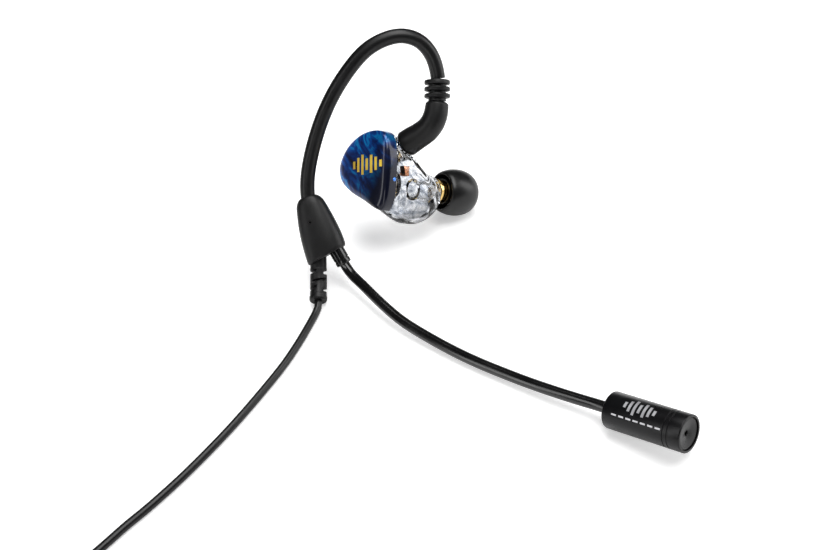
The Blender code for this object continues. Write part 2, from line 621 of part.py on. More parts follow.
turned("jack_boot", [(0, 0), (1.7, 0), (2.2, 1.0), (2.6, 8.0), (2.6, 9.7), (0, 9.7)][::-1],
       SOFT_BLACK, JACK, 20)
turned("jack_grip", [(1.5, 24.0), (2.9, 24.0), (3.45, 23.6), (JACK_RADIUS, 22.8),
                     (JACK_RADIUS, 11.2), (3.4, 10.2), (3.0, 10.0), (0, 10.0), (0, 22.0),
                     (1.5, 22.0)], SOFT_BLACK, JACK, 24, closed=True)
CONTACTS = [("jack_sleeve", 24.3, 28.9), ("jack_ring_2", 29.6, 31.7), ("jack_ring_1", 32.4, 34.5)]
for name, low, high in CONTACTS:
    ring(name, 1.75, 1.2, low, high, GOLD, JACK)
core = [(0, 36.0), (1.0, 36.0), (1.0, 35.0), (1.7, 35.0), (1.7, 34.7), (1.0, 34.7)]
for low, high in ((31.9, 32.2), (29.1, 29.4)):
    core += [(1.0, high), (1.7, high), (1.7, low), (1.0, low)]
core += [(1.0, 22.3), (0, 22.3)]
turned("jack_core", core, WHITE_PLASTIC, JACK, 24)
turned("jack_tip", [(0, 39.0), (0.5, 38.9), (1.2, 38.1), (1.7, 37.2), (1.3, 36.5), (1.75, 35.9),
                    (1.75, 35.3), (1.2, 35.3), (1.2, 36.3), (0, 36.3)], GOLD, JACK, 24)
tie_frame = empty("tie_frame", Matrix.Translation(Vector((0, -COIL_MEAN_RADIUS, half)) * MM)
                  @ Matrix.Rotation(math.radians(90), 4, "Y"), COIL)
TIE_WIDTH = 3.0
TIE_THICKNESS = 0.4
loops = [[rounded_section(half + out, half + out, z * long, 24, 6.0) for z in (-0.5, 0.5)]
         for out, long in ((GAP + TIE_THICKNESS, TIE_WIDTH), (GAP, 2 * TIE_WIDTH))]
cut(loft("cable_tie", loops[0], WHITE_PLASTIC, tie_frame),
    loft("tie_hollow", loops[1], None, tie_frame, cutters))
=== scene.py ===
"""Looks of an in-ear monitor with an ear hook, a boom microphone and a lead, lying on a table.

Shapes are worked out in millimetres in the plane of the ear hook (x right, y up along the hook,
z out of the plane towards the camera), as in the CAD, and are placed in metres in its frame.
"""
import math

import bmesh
import bpy
import numpy as np
from mathutils import Matrix, Vector

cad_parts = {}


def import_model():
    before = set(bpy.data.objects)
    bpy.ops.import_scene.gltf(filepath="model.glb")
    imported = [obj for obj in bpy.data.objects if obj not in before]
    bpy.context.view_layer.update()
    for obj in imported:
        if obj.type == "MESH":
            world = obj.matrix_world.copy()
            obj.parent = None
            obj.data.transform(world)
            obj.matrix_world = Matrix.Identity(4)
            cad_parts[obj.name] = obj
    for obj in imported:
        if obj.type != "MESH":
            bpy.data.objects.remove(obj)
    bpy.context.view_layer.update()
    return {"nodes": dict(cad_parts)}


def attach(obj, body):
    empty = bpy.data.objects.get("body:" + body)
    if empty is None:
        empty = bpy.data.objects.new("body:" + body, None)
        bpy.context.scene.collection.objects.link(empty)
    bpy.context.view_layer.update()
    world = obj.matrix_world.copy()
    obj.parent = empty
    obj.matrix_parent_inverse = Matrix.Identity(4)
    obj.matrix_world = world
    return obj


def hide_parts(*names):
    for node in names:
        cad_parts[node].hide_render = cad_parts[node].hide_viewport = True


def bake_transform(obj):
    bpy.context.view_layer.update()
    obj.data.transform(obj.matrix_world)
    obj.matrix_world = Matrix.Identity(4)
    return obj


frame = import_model()
MM = 0.001

# ---------------------------------------------------------------- sizes shared with the CAD

LEAN = math.radians(49.567)
TURN = math.radians(12.972)
REST_LIFT = 1.067
ORIGIN_SHIFT = Vector((-11.731, 20.442, 0.0))
CAMERA_DISTANCE = 300.0
SENSOR_WIDTH = 36.0
IMAGE_WIDTH = 825
FOCAL_LENGTH = 1200

HOOK_RADIUS = 1.83
HOOK_SPLITS = (0.14, 0.42, 0.70)
BOOM_RADIUS = 1.28
BOOM_SPLITS = (0.13, 0.36, 0.59, 0.82)
CORD_RADIUS = 0.975
COLLAR_RADIUS = 1.95
RELIEF_RADIUS = 2.1
SHELL_WALL = 0.9
FACEPLATE_HALF = (9.4, 10.1)
SOCKET_RADIUS = 2.2
NOZZLE_RADIUS = 2.9
TUBE_RADIUS = 2.55
MIC_RADIUS = 4.05
MIC_FRONT = 17.6
JACK_RADIUS = 3.75
COIL_MEAN_RADIUS = 11.5

HOOK_ROUTE = [(-25.9, 17.6, 0.0), (-26.25, 20.0, 0.0), (-26.35, 23.0, 0.2), (-25.85, 27.0, 0.8),
              (-24.45, 32.8, 1.8), (-22.1, 39.5, 2.9), (-18.6, 46.4, 3.9), (-13.65, 53.2, 4.7),
              (-9.45, 56.8, 5.0), (-4.05, 58.9, 5.0), (-1.1, 58.8, 4.6), (1.7, 58.0, 4.0),
              (4.7, 54.9, 2.7), (6.1, 51.0, 1.6), (6.35, 48.9, 1.2)]
PLUG_ROUTE = [(6.15, 43.0, 1.1), (6.0, 41.4, 1.1), (5.65, 39.6, 1.0), (4.85, 37.8, 0.6),
              (3.6, 36.3, -0.2), (2.0, 35.2, -1.1), (-0.3, 33.9, -2.5), (-1.6, 33.1, -3.4)]
PLUG_RADII = [2.85, 2.98, 3.05, 3.1, 3.15, 3.2, 3.35, 3.4]
BOOM_ROUTE = [(-19.2, 6.5, 0.0), (-17.0, 2.75, 0.0), (-15.4, 0.35, 1.2),
              (-12.5, -2.2, 4.4), (-7.6, -6.8, 9.8),
              (-2.5, -10.95, 14.4), (3.2, -14.3, 18.9), (8.8, -17.2, 23.2), (14.4, -19.7, 27.4),
              (20.0, -21.8, 31.5), (25.5, -23.7, 35.6), (30.8, -25.3, 39.6), (36.1, -26.75, 43.3),
              (40.3, -27.8, 46.3), (42.3, -28.35, 48.2)]
RELIEF_ROUTE = [(-23.7, 6.2, 0.0), (-23.55, 4.6, 0.0), (-23.5, 2.2, 0.02), (-23.45, -0.6, 0.35),
                (-23.4, -3.6, 1.25), (-23.35, -6.5, 2.6)]
YOKE_TOP = Vector((-26.0, 19.0, 0.0))
YOKE_DOWN = Vector((0.316, -0.949, 0.0)).normalized()
FACE_CENTRE = Vector((-11.75, 26.1, -2.0))
FACE_RIGHT = Vector((0.682, 0.0, 0.731)).normalized()
SOCKET_MOUTH = Vector((-2.44, 32.52, -4.04))
PLUG_AXIS = Vector((-0.70, -0.48, -0.53)).normalized()
NOZZLE_END = Vector((5.6, 21.7, -9.6))
NOZZLE_AXIS = Vector((0.795, -0.020, -0.606)).normalized()
MIC_REAR = Vector((42.65, -28.46, 48.5))
MIC_AXIS = Vector((0.721, -0.190, 0.666)).normalized()
CORD_ROUTE = [(-24.22, -2.75, 1.9), (-24.6, -4.3, 1.3), (-25.35, -5.85, 1.05), (-26.3, -7.65, 1.0),
              (-27.9, -10.65, 1.0), (-30.6, -15.4, 1.0), (-34.7, -21.7, 1.0), (-41.0, -29.7, 1.0),
              (-48.7, -38.6, 1.0), (-57.8, -47.8, 1.0), (-65.8, -54.8, 1.0), (-71.3, -59.0, 1.0),
              (-76.8, -63.6, 1.0), (-81.3, -67.0, 1.0), (-85.5, -69.1, 1.0)]
COIL_CENTRE = Vector((-93.0, -84.0, 0.8))
TAIL_ROUTE = [(-85.5, -98.9, 1.0), (-82.6, -99.6, 1.1), (-79.4, -100.4, 1.6),
              (-76.2, -101.0, 2.6), (-73.4, -101.25, 3.45), (-71.3, -101.3, 3.75)]
JACK_START = Vector((-71.0, -101.3, 3.75))
YOKE_SECTIONS = [(0.5, 2.15, 2.15), (0.15, 2.65, 2.5), (-0.8, 3.35, 2.85), (-2.2, 3.8, 3.1),
                 (-5.8, 4.55, 3.5), (-10.0, 5.1, 3.8), (-13.6, 5.25, 3.9), (-14.6, 5.15, 3.85),
                 (-14.9, 4.9, 3.6)]
YOKE_SKEW = 0.2
COLLAR_START = Vector((2.2, 0.0, -12.5))
COLLAR_END = Vector((3.4, 0.0, -18.25))
FACE_OUTLINE = [(9.5, -0.2), (9.4, 5.4), (8.0, 8.8), (4.0, 10.1), (-1.4, 9.3), (-6.4, 6.4),
                (-9.3, 2.2), (-8.8, -1.8), (-4.8, -5.1), (0.8, -7.7), (5.0, -9.9), (6.9, -9.9),
                (8.7, -7.0)]
FACE_MIDDLE = (-1.8, 0.2)
OUTLINE_POINTS = 144
SHELL_SECTIONS = [(3.9, -1.8, 0.2, 9.4, 10.1, 1.0), (5.4, -0.8, -0.9, 9.0, 10.0, 0.85),
                  (7.2, 0.9, -3.0, 8.2, 9.8, 0.6), (9.2, 2.8, -4.0, 7.2, 9.2, 0.4),
                  (11.2, 4.4, -5.3, 6.3, 7.9, 0.2), (13.0, 5.9, -6.1, 5.4, 6.5, 0.0),
                  (14.6, 6.9, -5.9, 4.3, 5.5, 0.0), (15.8, 7.6, -5.5, 3.2, 4.4, 0.0),
                  (16.3, 7.8, -5.4, 2.6, 3.2, 0.0)]
FACE_SECTIONS = [(-0.42, 0.42), (-0.30, 0.66), (-0.05, 0.84), (0.30, 0.93), (0.85, 0.982),
                 (1.6, 1.0), (3.6, 1.0)]


# ---------------------------------------------------------------- frames

def frame_along(origin, axis, side):
    """A frame with its z along an axis and its x as near as it can be to a side."""
    z = axis.normalized()
    x = (side - z * side.dot(z)).normalized()
    y = z.cross(x)
    return Matrix.Translation(origin) @ Matrix((x, y, z)).transposed().to_4x4()


TABLE = Matrix.Translation(ORIGIN_SHIFT)
PLANE = (TABLE @ Matrix.Translation((0, 0, REST_LIFT)) @ Matrix.Rotation(LEAN, 4, "X")
         @ Matrix.Rotation(-TURN, 4, "Z"))
YOKE = PLANE @ frame_along(YOKE_TOP, -YOKE_DOWN, Vector((1, 0, 0)))
FACE = PLANE @ frame_along(FACE_CENTRE, FACE_RIGHT.cross(Vector((0, 1, 0))), FACE_RIGHT)
NOZZLE = PLANE @ frame_along(NOZZLE_END, NOZZLE_AXIS, FACE_RIGHT)
MIC = PLANE @ frame_along(MIC_REAR, MIC_AXIS, Vector((1, 0, 0)))
JACK = TABLE @ frame_along(JACK_START, Vector((1, 0, 0)), Vector((0, 1, 0)))


def world(place, point):
    """A point of a millimetre frame, in metres in the object's frame."""
    return (place @ Vector(point)) * MM


# ---------------------------------------------------------------- camera, light and floor

def add_camera():
    """Square to the plane of the ear hook; the focal length is in units of the image width."""
    data = bpy.data.cameras.new("camera")
    data.sensor_width = SENSOR_WIDTH
    data.lens = SENSOR_WIDTH * FOCAL_LENGTH / IMAGE_WIDTH
    data.clip_start = 0.01
    camera = bpy.data.objects.new("camera", data)
    bpy.context.scene.collection.objects.link(camera)
    eye = PLANE @ Matrix.Translation((0, 0, CAMERA_DISTANCE))
    eye.translation *= MM
    camera.matrix_world = eye
    bpy.context.scene.camera = camera


def add_softbox(name, toward, distance, size, power, target=(0.0, 0.0, 0.02)):
    """A rectangular light in a direction of the camera's view (x right, y up, z to the lens)."""
    data = bpy.data.lights.new(name, "AREA")
    data.shape = "RECTANGLE"
    data.size, data.size_y = size
    data.energy = power
    light = bpy.data.objects.new(name, data)
    bpy.context.scene.collection.objects.link(light)
    direction = (PLANE.to_3x3() @ Vector(toward)).normalized()
    light.location = Vector(target) + direction * distance
    light.rotation_euler = (-direction).to_track_quat("-Z", "Y").to_euler()
    return light


def seen_or_lent(nodes, links, seen, lent):
    """One strength for what the camera sees directly and another for all other light."""
    path = nodes.new("ShaderNodeLightPath")
    level = nodes.new("ShaderNodeMapRange")
    level.inputs["To Min"].default_value = lent
    level.inputs["To Max"].default_value = seen
    links.new(path.outputs["Is Camera Ray"], level.inputs["Value"])
    return level.outputs["Result"]


def add_studio():
    """Seen directly the room is white; what it lends to reflections is dim."""
    studio = bpy.data.worlds.new("studio")
    studio.use_nodes = True
    nodes = studio.node_tree.nodes
    links = studio.node_tree.links
    nodes["Background"].inputs["Color"].default_value = (1.0, 1.0, 1.0, 1.0)
    links.new(seen_or_lent(nodes, links, 1.0, 0.055), nodes["Background"].inputs["Strength"])
    bpy.context.scene.world = studio


add_camera()
add_studio()
add_softbox("left_softbox", (-0.86, 0.05, 0.50), 0.60, (0.13, 0.80), 1.2)
add_softbox("right_softbox", (1.0, 0.45, 0.15), 0.60, (0.30, 0.70), 2.6)
add_softbox("top_softbox", (0.05, 1.0, 0.75), 0.75, (0.9, 0.45), 7.0)
add_softbox("front_softbox", (-0.35, -0.75, 0.9), 0.75, (0.14, 0.9), 1.5)
bpy.context.scene.view_settings.view_transform = "Standard"


# ---------------------------------------------------------------- materials

def new_material(name):
    made = bpy.data.materials.new(name)
    made.use_nodes = True
    return made, made.node_tree.nodes, made.node_tree.links, made.node_tree.nodes["Principled BSDF"]


def coordinates(nodes, links, scale):
    place = nodes.new("ShaderNodeTexCoord")
    mapping = nodes.new("ShaderNodeMapping")
    mapping.inputs["Scale"].default_value = scale
    links.new(place.outputs["Object"], mapping.inputs["Vector"])
    return mapping.outputs["Vector"]


def noise(nodes, links, vector, scale, detail=4.0, distortion=0.0, roughness=0.5):
    texture = nodes.new("ShaderNodeTexNoise")
    texture.inputs["Scale"].default_value = scale
    texture.inputs["Detail"].default_value = detail
    texture.inputs["Distortion"].default_value = distortion
    texture.inputs["Roughness"].default_value = roughness
    links.new(vector, texture.inputs["Vector"])
    return texture.outputs["Fac"]


def ramp(nodes, links, factor, stops):
    made = nodes.new("ShaderNodeValToRGB")
    made.color_ramp.elements[0].position = stops[0][0]
    made.color_ramp.elements[0].color = (*stops[0][1], 1.0)
    made.color_ramp.elements[1].position = stops[-1][0]
    made.color_ramp.elements[1].color = (*stops[-1][1], 1.0)
    for position, colour in stops[1:-1]:
        made.color_ramp.elements.new(position).color = (*colour, 1.0)
    links.new(factor, made.inputs["Fac"])
    return made.outputs["Color"]


def spread(nodes, links, factor, low, high):
    """Turns a 0 to 1 texture into a value between low and high."""
    made = nodes.new("ShaderNodeMapRange")
    made.inputs["From Min"].default_value = 0.3
    made.inputs["From Max"].default_value = 0.7
    made.inputs["To Min"].default_value = low
    made.inputs["To Max"].default_value = high
    links.new(factor, made.inputs["Value"])
    return made.outputs["Result"]


def bump(nodes, links, shader, height, strength, distance):
    made = nodes.new("ShaderNodeBump")
    made.inputs["Strength"].default_value = strength
    made.inputs["Distance"].default_value = distance
    links.new(height, made.inputs["Height"])
    links.new(made.outputs["Normal"], shader.inputs["Normal"])


def moulded(name, colour, roughness, grain=4000, grain_strength=0.12, metallic=0.0, coat=0.0,
            specular=0.5, wander=0.05):
    """A moulded or plated surface with a fine grain and a slight cloudiness in its gloss."""
    made, nodes, links, shader = new_material(name)
    vector = coordinates(nodes, links, (1, 1, 1))
    cloud = noise(nodes, links, vector, 180, 5.0)
    darker = tuple(0.82 * c for c in colour)
    lighter = tuple(min(1.0, 1.18 * c) for c in colour)
    shades = ramp(nodes, links, cloud, [(0.3, darker), (0.7, lighter)])
    links.new(shades, shader.inputs["Base Color"])
    links.new(spread(nodes, links, cloud, max(0.02, roughness - wander), roughness + wander),
              shader.inputs["Roughness"])
    shader.inputs["Metallic"].default_value = metallic
    shader.inputs["Specular IOR Level"].default_value = specular
    shader.inputs["Coat Weight"].default_value = coat
    shader.inputs["Coat Roughness"].default_value = 0.08
    fine = noise(nodes, links, vector, grain, 2.0)
    bump(nodes, links, shader, fine, grain_strength, 0.00004)
    return made


def blue_resin():
    """Deep blue resin with its own streaks of pearl; their brightening towards the upper left is
    painted light.
    """
    made, nodes, links, shader = new_material("blue_pearl_resin")
    vector = coordinates(nodes, links, (1.0, 0.45, 1.0))
    swirl = noise(nodes, links, vector, 150, 3.0, 2.6, 0.55)
    streaks = ramp(nodes, links, swirl, [(0.30, (0.0004, 0.0010, 0.0080)),
                                         (0.44, (0.0002, 0.0220, 0.1700)),
                                         (0.54, (0.0003, 0.0950, 0.4800)),
                                         (0.60, (0.0010, 0.3400, 0.8600)),
                                         (0.66, (0.0003, 0.0700, 0.4200)),
                                         (0.80, (0.0002, 0.0140, 0.1000))])
    # Painted light: the pearl streaks show bright towards the upper left, as if lit through that
    # edge, and fade to plain dark navy towards the lower right.
    toward = FACE.to_3x3() @ Vector((-0.8, 0.6, 0.0))
    along = nodes.new("ShaderNodeVectorMath")
    along.operation = "DOT_PRODUCT"
    along.inputs[1].default_value = toward
    place = nodes.new("ShaderNodeTexCoord")
    links.new(place.outputs["Object"], along.inputs[0])
    level = nodes.new("ShaderNodeMapRange")
    middle = (FACE.translation * MM).dot(toward)
    level.inputs["From Min"].default_value = middle - 0.006
    level.inputs["From Max"].default_value = middle + 0.009
    links.new(along.outputs["Value"], level.inputs["Value"])
    painted_light_mix = nodes.new("ShaderNodeMix")
    painted_light_mix.data_type = "RGBA"
    painted_light_mix.inputs[6].default_value = (0.0006, 0.0018, 0.0120, 1.0)
    links.new(level.outputs["Result"], painted_light_mix.inputs[0])
    links.new(streaks, painted_light_mix.inputs[7])
    links.new(painted_light_mix.outputs[2], shader.inputs["Base Color"])
    shader.inputs["Metallic"].default_value = 0.35
    shader.inputs["Specular IOR Level"].default_value = 0.25
    shader.inputs["Roughness"].default_value = 0.34
    shader.inputs["Coat Weight"].default_value = 0.8
    shader.inputs["Coat Roughness"].default_value = 0.02
    shader.inputs["Coat IOR"].default_value = 1.36
    ripple = noise(nodes, links, vector, 420, 2.0, 0.8)
    bump(nodes, links, shader, ripple, 0.10, 0.0001)
    return made


def clear_resin():
    """Clear resin with wavy walls; its grey and white streaks are painted refraction, standing in
    for the dark and bright bands that thick clear walls bend in.
    """
    made, nodes, links, shader = new_material("clear_resin")
    vector = coordinates(nodes, links, (1, 1, 1))
    streaks = noise(nodes, links, vector, 120, 2.0, 3.2)
    # Painted refraction: grey and white streaks stand in for the bands of dark and light seen
    # through the walls.
    links.new(ramp(nodes, links, streaks, [(0.34, (0.34, 0.37, 0.42)), (0.43, (0.94, 0.96, 1.0)),
                                           (0.54, (1.0, 1.0, 1.0)), (0.61, (0.44, 0.47, 0.52)),
                                           (0.68, (0.97, 0.98, 1.0))]), shader.inputs["Base Color"])
    shader.inputs["Transmission Weight"].default_value = 1.0
    shader.inputs["IOR"].default_value = 1.52
    shader.inputs["Roughness"].default_value = 0.015
    waves = noise(nodes, links, vector, 62, 1.0, 1.8)
    bump(nodes, links, shader, waves, 0.60, 0.0022)
    return made


def woven_screen():
    made, nodes, links, shader = new_material("steel_screen")
    vector = coordinates(nodes, links, (1, 1, 1))
    cells = nodes.new("ShaderNodeTexVoronoi")
    cells.inputs["Scale"].default_value = 5200
    links.new(vector, cells.inputs["Vector"])
    links.new(ramp(nodes, links, cells.outputs["Distance"],
                   [(0.25, (0.01, 0.01, 0.01)), (0.45, (0.55, 0.55, 0.57))]),
              shader.inputs["Base Color"])
    shader.inputs["Metallic"].default_value = 1.0
    shader.inputs["Roughness"].default_value = 0.35
    bump(nodes, links, shader, cells.outputs["Distance"], 0.5, 0.0001)
    return made


def board_finish():
    made, nodes, links, shader = new_material("circuit_board")
    vector = coordinates(nodes, links, (1, 1, 1))
    tracks = nodes.new("ShaderNodeTexBrick")
    tracks.inputs["Scale"].default_value = 900
    tracks.inputs["Color1"].default_value = (0.30, 0.12, 0.06, 1)
    tracks.inputs["Color2"].default_value = (0.42, 0.20, 0.12, 1)
    tracks.inputs["Mortar"].default_value = (0.70, 0.45, 0.30, 1)
    links.new(vector, tracks.inputs["Vector"])
    links.new(tracks.outputs["Color"], shader.inputs["Base Color"])
    shader.inputs["Roughness"].default_value = 0.35
    bump(nodes, links, shader, tracks.outputs["Fac"], 0.3, 0.0001)
    return made


SOFT_BLACK = moulded("soft_black_moulding", (0.0030, 0.0030, 0.0033), 0.44, 5200, 0.16,
                     specular=0.30)
HOOK_BLACK = moulded("hook_sleeve_black", (0.0028, 0.0028, 0.0031), 0.36, 4200, 0.10, specular=0.36)
BOOM_BLACK = moulded("boom_sleeve_black", (0.0030, 0.0030, 0.0033), 0.16, 4200, 0.06, specular=0.55)
CORD_BLACK = moulded("lead_jacket_black", (0.0028, 0.0028, 0.0031), 0.34, 4600, 0.10, specular=0.36)
SILICONE = moulded("black_silicone", (0.0032, 0.0032, 0.0035), 0.34, 5200, 0.10, specular=0.40)
ANODISED = moulded("black_anodised_aluminium", (0.0045, 0.0045, 0.0052), 0.30, 7000, 0.22, 0.40,
                   specular=0.40)
GOLD = moulded("gold_plate", (0.80, 0.55, 0.20), 0.20, 3500, 0.05, 1.0)
EMBLEM_GOLD = moulded("emblem_gold_foil", (0.95, 0.60, 0.07), 0.38, 6000, 0.20, 0.45)
EMBLEM_SILVER = moulded("emblem_silver_print", (0.52, 0.52, 0.54), 0.40, 6000, 0.20, 0.7)
STEEL = moulded("satin_steel", (0.52, 0.52, 0.54), 0.28, 5000, 0.10, 1.0)
DRIVER_DARK = moulded("driver_can_dark", (0.05, 0.05, 0.055), 0.25, 5000, 0.10, 0.8)
WHITE_PLASTIC = moulded("white_insulator", (0.74, 0.74, 0.72), 0.42, 3000, 0.08)
FOAM = moulded("black_foam", (0.012, 0.012, 0.012), 0.9, 1800, 0.9)
COPPER = moulded("enamelled_copper", (0.60, 0.25, 0.12), 0.28, 4000, 0.06, 1.0)
# A painted glint: bright blue for the small blue sparkle on the shell's side wall.
GLINT_BLUE = moulded("painted_blue_glint", (0.02, 0.22, 0.85), 0.12, 3000, 0.05, coat=1.0)
BLUE_RESIN = blue_resin()
CLEAR_RESIN = clear_resin()
SCREEN = woven_screen()
BOARD = board_finish()


def table_finish():
    """Matt white with a little light of its own, which softens the shadows on it."""
    made, nodes, links, shader = new_material("white_table")
    cloud = noise(nodes, links, coordinates(nodes, links, (1, 1, 1)), 60, 3.0)
    links.new(ramp(nodes, links, cloud, [(0.3, (0.89, 0.89, 0.89)), (0.7, (0.91, 0.91, 0.91))]),
              shader.inputs["Base Color"])
    shader.inputs["Roughness"].default_value = 0.8
    shader.inputs["Emission Color"].default_value = (1.0, 1.0, 1.0, 1.0)
    links.new(seen_or_lent(nodes, links, 0.42, 0.12), shader.inputs["Emission Strength"])
    bump(nodes, links, shader, cloud, 0.02, 0.0001)
    return made


def add_floor():
    """A broad white table top, a hair below the object."""
    shape = bmesh.new()
    bmesh.ops.create_grid(shape, x_segments=8, y_segments=8, size=0.6)
    data = bpy.data.meshes.new("table_top")
    shape.to_mesh(data)
    shape.free()
    floor = bpy.data.objects.new("table_top", data)
    bpy.context.scene.collection.objects.link(floor)
    floor.location.z = -0.0001
    data.materials.append(table_finish())


add_floor()


# ---------------------------------------------------------------- shape tools

def mesh_piece(name, shape, finish, sharp=45):
    bmesh.ops.recalc_face_normals(shape, faces=shape.faces)
    data = bpy.data.meshes.new(name)
    shape.to_mesh(data)
    shape.free()
    data.shade_smooth()
    data.set_sharp_from_angle(angle=math.radians(sharp))
    made = bpy.data.objects.new(name, data)
    bpy.context.scene.collection.objects.link(made)
    data.materials.append(finish)
    return made


def skin(name, rings, finish, sharp=45):
    """A closed surface through rings of world points, with a face over each end."""
    shape = bmesh.new()
    rows = [[shape.verts.new(point) for point in ring] for ring in rings]
    count = len(rows[0])
    for lower, upper in zip(rows, rows[1:]):
        for i in range(count):
            j = (i + 1) % count
            shape.faces.new((lower[i], lower[j], upper[j], upper[i]))
    shape.faces.new(rows[0][::-1])
    shape.faces.new(rows[-1])
    return mesh_piece(name, shape, finish, sharp)


def turned(name, profile, place, finish, sides=72, loop=False, sharp=32):
    """A profile of (radius, z) turned about a frame's z axis; radius 0 closes it."""
    shape = bmesh.new()
    rows = []
    for radius, z in profile:
        if radius == 0:
            rows.append([shape.verts.new(world(place, (0, 0, z)))])
            continue
        row = []
        for i in range(sides):
            angle = 2 * math.pi * i / sides
            row.append(shape.verts.new(world(place, (radius * math.cos(angle),
                                                     radius * math.sin(angle), z))))
        rows.append(row)
    pairs = list(zip(rows, rows[1:]))
    if loop:
        pairs.append((rows[-1], rows[0]))
    for first, second in pairs:
        for i in range(sides):
            j = (i + 1) % sides
            if len(first) == 1:
                shape.faces.new((first[0], second[j], second[i]))
            elif len(second) == 1:
                shape.faces.new((first[i], first[j], second[0]))
            else:
                shape.faces.new((first[i], first[j], second[j], second[i]))
    return mesh_piece(name, shape, finish, sharp)


def catmull(points, pieces):
    """Points on a smooth curve through the given ones, so many to each stretch."""
    points = [np.array(p, float) for p in points]
    ends = [2 * points[0] - points[1], *points, 2 * points[-1] - points[-2]]
    path = [points[0]]
    for a, b, c, d in zip(ends, ends[1:], ends[2:], ends[3:]):
        count = pieces(np.linalg.norm(c - b)) if callable(pieces) else pieces
        for i in range(1, count + 1):
            t = i / count
            path.append(0.5 * (2 * b + (c - a) * t + (2 * a - 5 * b + 4 * c - d) * t ** 2
                               + (3 * b - a - 3 * c + d) * t ** 3))
    return path


def smooth_path(route, step):
    return [Vector(p) for p in catmull(route, lambda gap: max(1, round(gap / step)))]


def lengths_along(path):
    total = [0.0]
    for first, second in zip(path, path[1:]):
        total.append(total[-1] + (second - first).length)
    return total


def resampled(path, step, start=None, end=None):
    """Evenly spaced points between two distances along a path."""
    total = lengths_along(path)
    start = 0.0 if start is None else start
    end = total[-1] if end is None else end
    count = max(2, round((end - start) / step) + 1)
    wanted = np.linspace(start, end, count)
    columns = [np.interp(wanted, total, [p[i] for p in path]) for i in range(3)]
    return [Vector(p) for p in zip(*columns)]


def softened(path, passes):
    """The path with its small kinks averaged out and its ends kept."""
    for _ in range(passes):
        inner = [(a + 2 * b + c) / 4 for a, b, c in zip(path, path[1:], path[2:])]
        path = [path[0], *inner, path[-1]]
    return path


def path_frames(path):
    """At each point the tangent and two sides that don't twist along the path."""
    frames = []
    side = None
    for i in range(len(path)):
        ahead = path[min(i + 1, len(path) - 1)] - path[max(i - 1, 0)]
        tangent = ahead.normalized()
        if side is None:
            side = tangent.orthogonal().normalized()
            if abs(tangent.dot(Vector((0, 0, 1)))) < 0.95:
                side = (Vector((0, 0, 1)) - tangent * tangent.z).normalized()
        side = (side - tangent * side.dot(tangent)).normalized()
        frames.append((tangent, side, tangent.cross(side)))
    return frames


def swept(name, path, radius, place, finish, sides=40, sharp=45):
    """A bar along a path; radius is a number or a function of (distance, angle)."""
    rings = []
    for point, distance, (_, side, up) in zip(path, lengths_along(path), path_frames(path)):
        ring = []
        for i in range(sides):
            angle = 2 * math.pi * i / sides
            r = radius(distance, angle) if callable(radius) else radius
            across = side * (r * math.cos(angle))
            upward = up * (r * math.sin(angle))
            ring.append(world(place, point + across + upward))
        rings.append(ring)
    return skin(name, rings, finish, sharp)


def smoothstep(x, low, high):
    """Rises smoothly from 0 at low to 1 at high."""
    t = min(1.0, max(0.0, (x - low) / (high - low)))
    return t * t * (3 - 2 * t)


def box_piece(name, size, centre, place, finish, bevel):
    """A block with rounded edges, placed in a millimetre frame."""
    shape = bmesh.new()
    bmesh.ops.create_cube(shape, size=1.0)
    bmesh.ops.scale(shape, vec=Vector(size), verts=shape.verts)
    bmesh.ops.translate(shape, vec=Vector(centre), verts=shape.verts)
    bmesh.ops.bevel(shape, geom=shape.edges[:], offset=bevel, segments=3, affect="EDGES",
                    profile=0.5)
    for vertex in shape.verts:
        vertex.co = world(place, vertex.co)
    return mesh_piece(name, shape, finish, 40)


WELD = 0.003
SLIVER = 0.002


def boolean(target, other, operation):
    """Joins or cuts a piece with another, removes the other and welds tiny gaps."""
    modifier = target.modifiers.new("shape", "BOOLEAN")
    modifier.operation = operation
    modifier.object = other
    modifier.solver = "EXACT"
    evaluated = target.evaluated_get(bpy.context.evaluated_depsgraph_get())
    data = bpy.data.meshes.new_from_object(evaluated)
    target.modifiers.clear()
    target.data = data
    shape = bmesh.new()
    shape.from_mesh(data)
    bmesh.ops.remove_doubles(shape, verts=shape.verts, dist=WELD * MM)
    bmesh.ops.dissolve_degenerate(shape, edges=shape.edges, dist=SLIVER * MM)
    bmesh.ops.triangulate(shape, faces=shape.faces)
    shape.to_mesh(data)
    shape.free()
    data.set_sharp_from_angle(angle=math.radians(35))
    bpy.data.objects.remove(other, do_unlink=True)


def rod(name, start, end, radius, place, finish, sides=64):
    """A round bar between two points, used to join or cut."""
    axis = Vector(end) - Vector(start)
    along = place @ frame_along(Vector(start), axis, Vector((0.3, 1.0, 0.2)))
    return turned(name, [(0, axis.length), (radius, axis.length), (radius, 0), (0, 0)], along,
                  finish, sides)


def finish_piece(piece, body, slot, *nodes):
    """Rides a piece on a body and hides the CAD nodes that it stands for; its slot is not used."""
    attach(piece, body)
    if nodes:
        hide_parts(*nodes)
    return piece


def show(finish, *nodes):
    """Gives CAD nodes that stay in view their material, and returns them."""
    shown = [frame["nodes"][node] for node in nodes]
    for node in shown:
        node.data.materials.clear()
        node.data.materials.append(finish)
    return shown


# ---------------------------------------------------------------- the lead

TURNS_SHOWN = 14.5
TURN_POINTS = 40
COIL_PITCH = 2 * CORD_RADIUS
COIL_PLACES = [(3, 0), (2, 0), (1, 0), (0, 0), (0, 1), (0, 2), (0, 3), (1, 3), (1, 2), (1, 1),
               (2, 1), (2, 2), (2, 3), (3, 2), (3, 1)]


